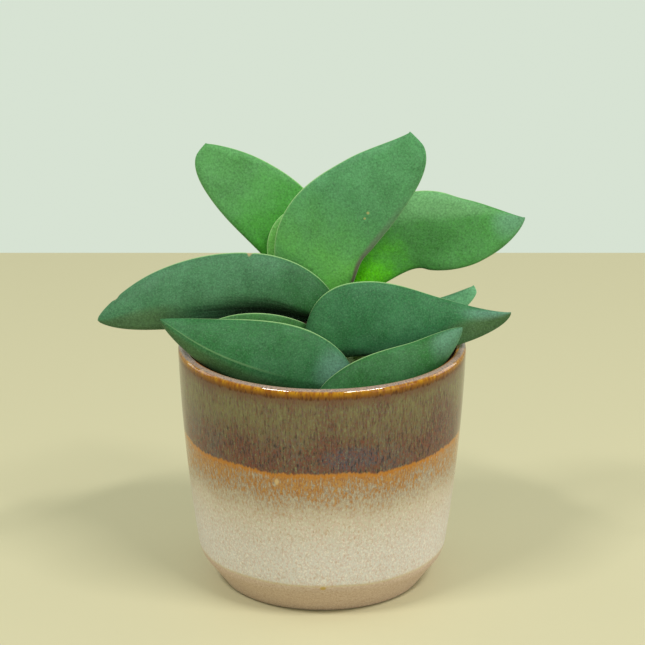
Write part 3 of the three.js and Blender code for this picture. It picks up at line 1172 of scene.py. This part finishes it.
def patched(on, skin, patches):
    """Lay ovals of tone, and of painted shade, over the skin. Each has a centre and a half length along and
    across.
    """
    for patch in patches:
        (place, length), (side, width) = patch["along"], patch["across"]
        away_along, away_across = (on.along - place) / length, (on.across - side) / width
        ragged = (on.torn - 0.5) * (TORN_EDGE if patch["tone"] is PAINTED_SHADE else SOFT_EDGE)
        near = (away_along * away_along + away_across * away_across + ragged).step(1.0, 0.05)
        skin = (near * patch["share"] * on.front.step(-0.2, 0.1)).mix(skin, patch["tone"])
    return skin


print("patch tones:", [[round(v, 3) for v in tone[:3]] for tone in (OLIVE, PAINTED_SHADE, BLOOM)])

# %% [markdown]
# ### Margins, keel and marks
# The blunt margins show as a fine pale line: partly the thin skin there and partly painted highlight, full
# on the upper margins, which face the light, and weaker on the lower ones, which face down. The keel has a
# paler line along its crest. One young leaf has a violet grey lower edge. The nicks have healed to cork, and
# the same young leaf has two tiny straw-coloured specks. All but the specks follow the blade's own values,
# so they bend with it.

# %% Edges and marks
# pale line of the margins, partly painted highlight on the margins that face up
PALE_MARGIN_AND_HIGHLIGHT = colour(166, 204, 138)
CREST_GREEN = colour(130, 164, 112)
VIOLET, VIOLET_GREY = colour(92, 62, 72), colour(110, 110, 104)
SCAR = colour(176, 150, 112)
STRAW_MARK = colour(170, 164, 104)


def keeled(on, skin, keel):
    """A pale line along the crest of the keel."""
    line = on.across - (keel["start"] + (keel["end"] - keel["start"]) * on.along)
    crest = abs(line).step(0.05, 0.012) * on.front.step(0.1, 0.3) * on.along.step(0.3, 0.6)
    return (crest * 0.35).mix(skin, CREST_GREEN)


def edged(on, skin, violet, low_margin):
    """The violet lower edge, if there is one, then the pale line round the blade, partly painted highlight
    on the upper margin.
    """
    if violet:
        side = on.across.step(-0.8, -0.93) * on.along.step(0.8, 0.25)
        skin = (side * violet).mix(skin, on.along.step(0.12, 0.4).mix(VIOLET, VIOLET_GREY))
    short_of_tip = on.along.step(1.0, 0.97)
    # painted highlight: the upper margin faces the light and gets the full pale line, the lower one only a
    # share
    upper = on.across.step(0.94, 0.985) * short_of_tip
    lower = on.across.step(-0.94, -0.985) * short_of_tip * low_margin
    return ((upper + lower) * (0.82 + (on.speck - 0.5) * 0.6)).mix(skin, PALE_MARGIN_AND_HIGHLIGHT)


def marked(on, skin, marks):
    """Healed nicks, and small round marks on the front at these places x and z."""
    skin = (on.scar.step(0.15, 0.5) * 0.85).mix(skin, SCAR)
    x, _, z = parts_of(on.point)
    for place_x, place_z, size in marks:
        away_x, away_z = (x - place_x) / size, (z - place_z) / size
        near = (away_x * away_x + away_z * away_z).step(1.6, 0.3) * on.front.step(0.1, 0.4)
        skin = (near * 0.75).mix(skin, STRAW_MARK)
    return skin


print("margin colour:", [round(v, 3) for v in PALE_MARGIN_AND_HIGHLIGHT[:3]])

# %% [markdown]
# ### The whole skin
# Velvet could be strong sheen, but on these leaves sheen and gloss lay a grey haze over the green. So both
# are kept low, and the fine relief breaks up what is left of the highlights.

# %% Leaf finish
GLOSS = 0.18
SHEEN = 0.05


def leaf_finish(
    name,
    shift,
    body,
    base,
    reach=0.35,
    glow=0.8,
    patches=(),
    keel=None,
    violet=0.0,
    low_margin=0.2,
    marks=(),
):
    """One leaf's own skin. The shift moves its noises, so that no two leaves are grained alike."""
    material, tree = finish(name)
    on = leaf_grains(tree, shift)
    skin = speckled(on, patched(on, flesh(on, body, base, reach, glow), patches))
    if keel:
        skin = keeled(on, skin, keel)
    skin = marked(on, edged(on, skin, violet, low_margin), marks)
    surface(
        tree,
        base_color=skin,
        roughness=0.56 + (on.speck - 0.5) * 0.2,
        specular_ior_level=GLOSS,
        sheen_weight=SHEEN,
        sheen_roughness=0.5,
        sheen_tint=(0.8, 1.0, 0.85, 1.0),
        normal=bump(tree, on.speck * 0.5 + on.streak * 0.6, 0.08 * MM, 0.6),
    )
    return material


print("leaf gloss", GLOSS, "and sheen", SHEEN)

# %% [markdown]
# ### Ten leaves
# The leaves are listed from the oldest pair to the youngest. What they share is in the functions above, so
# a leaf's entry holds only what is its own. Sizes across and along a blade are shares of its half width and
# its length.

# %% Each leaf's own traits
KEEL = {"start": -0.2, "end": -0.12, "width": 0.09, "height": 0.14 * MM}

LEAVES = {
    "leaf_1_left": dict(
        body=colour(42, 98, 50),
        base=colour(52, 106, 68),
        keel=KEEL,
        patches=[
            dict(tone=OLIVE, share=0.5, along=(0.7, 0.5), across=(-0.75, 0.6)),
            dict(tone=BLOOM, share=0.5, along=(0.06, 0.2), across=(0.2, 0.9)),
        ],
    ),
    "leaf_1_right": dict(
        body=colour(38, 94, 40),
        base=colour(38, 90, 46),
        patches=[dict(tone=BLOOM, share=0.35, along=(0.92, 0.2), across=(0, 1.2))],
    ),
    # The whole blade is darkened: painted shadow of leaf_3_left, which hangs over it.
    "leaf_2_left": dict(body=colour(42, 98, 32), base=colour(44, 98, 28)),
    "leaf_2_right": dict(body=colour(98, 160, 114), base=colour(84, 140, 70)),
    "leaf_3_left": dict(
        body=colour(58, 106, 68),
        # painted shade: the dark base colour and the deep green oval below stand for the shade where the
        # base sits deep among the other leaves
        base=colour(24, 80, 24),
        patches=[
            dict(tone=colour(20, 76, 26), share=0.45, along=(0.12, 0.3), across=(0.1, 1)),
            # painted shade in the hollow below the crown, where the blade turns down away from the light
            dict(tone=PAINTED_SHADE, share=1, along=(0.25, 0.5), across=(-0.75, 0.75)),
            dict(tone=OLIVE, share=0.5, along=(0.85, 0.25), across=(-0.6, 0.6)),
        ],
        crown=1.6 * MM,
        hollows=[dict(along=(0.3, 0.35), across=(-0.62, 0.3), depth=1.8 * MM)],
        nicks=[
            dict(along=(0.9, 0.012), side=1, depth=0.6 * MM),
            dict(along=(0.4, 0.008), side=1, depth=0.4 * MM),
        ],
    ),
    "leaf_3_right": dict(
        body=colour(42, 100, 56),
        base=colour(44, 96, 52),
        patches=[
            dict(tone=OLIVE, share=0.6, along=(0.9, 0.25), across=(-0.5, 0.7)),
            dict(tone=BLOOM, share=0.4, along=(0.95, 0.2), across=(0.3, 0.7)),
            # painted shade along the lower margin near the base, where the blade lies close over the leaves
            # below
            dict(tone=PAINTED_SHADE, share=0.6, along=(0.2, 0.25), across=(-0.9, 0.3)),
        ],
    ),
    "leaf_4_left": dict(
        body=colour(80, 140, 76), base=colour(62, 160, 0), reach=0.85, glow=1.0, low_margin=0.5
    ),
    "leaf_4_right": dict(
        body=colour(66, 130, 58),
        # painted light: the base is brighter than the flesh's own yellow green, where leaf_5_right shades it
        base=colour(108, 226, 0),
        reach=0.34,
        glow=1.0,
        patches=[
            # painted sheen: a pale oval on the upper part, which faces the light
            dict(tone=colour(118, 166, 116), share=0.5, along=(0.55, 0.35), across=(0.7, 0.5)),
            dict(tone=BLOOM, share=0.4, along=(0.98, 0.2), across=(0, 1.2)),
            dict(tone=colour(40, 98, 36), share=0.28, along=(0.5, 0.16), across=(-0.2, 0.5)),
        ],
    ),
    "leaf_5_left": dict(
        body=colour(108, 176, 88), base=colour(104, 184, 40), reach=0.6, low_margin=0.8
    ),
    "leaf_5_right": dict(
        body=colour(74, 134, 82),
        base=colour(98, 174, 62),
        reach=0.6,
        violet=0.85,
        marks=[(17.2 * MM, 148.4 * MM, 0.55 * MM), (16.0 * MM, 146.2 * MM, 0.45 * MM)],
    ),
}
print("patches on the leaves:", sum(len(traits.get("patches", ())) for traits in LEAVES.values()))

# %% [markdown]
# ### Growing them
# Each leaf goes through the same steps: copy and merge, find the net, smooth it through its own points,
# move the flesh, and lay on the skin. Its place in the list gives the seed of its waves and its grains.

# %% Grow each leaf
SEED_STEP = 3


def grown_leaf(node, seed, crown=0.9 * MM, keel=None, hollows=(), nicks=(), **skin):
    leaf = merged_copy("blade_" + node.removeprefix("leaf_"), node)
    grid, _ = blade_grid(leaf)
    dissolve_diagonals(leaf, grid)
    mark_blade(leaf, *blade_grid(leaf))
    smoothed_through(leaf)
    swell(leaf, seed, crown, keel, hollows)
    notch(leaf, nicks)
    smooth_shaded(leaf, 80)
    leaf.data.materials.append(leaf_finish(node + "_skin", seed, keel=keel, **skin))
    belongs(leaf, "leaf", node)
    return leaf


for number, (node, traits) in enumerate(LEAVES.items()):
    leaf = grown_leaf(node, number * SEED_STEP, **traits)
    print(leaf.name, len(leaf.data.polygons), "faces")
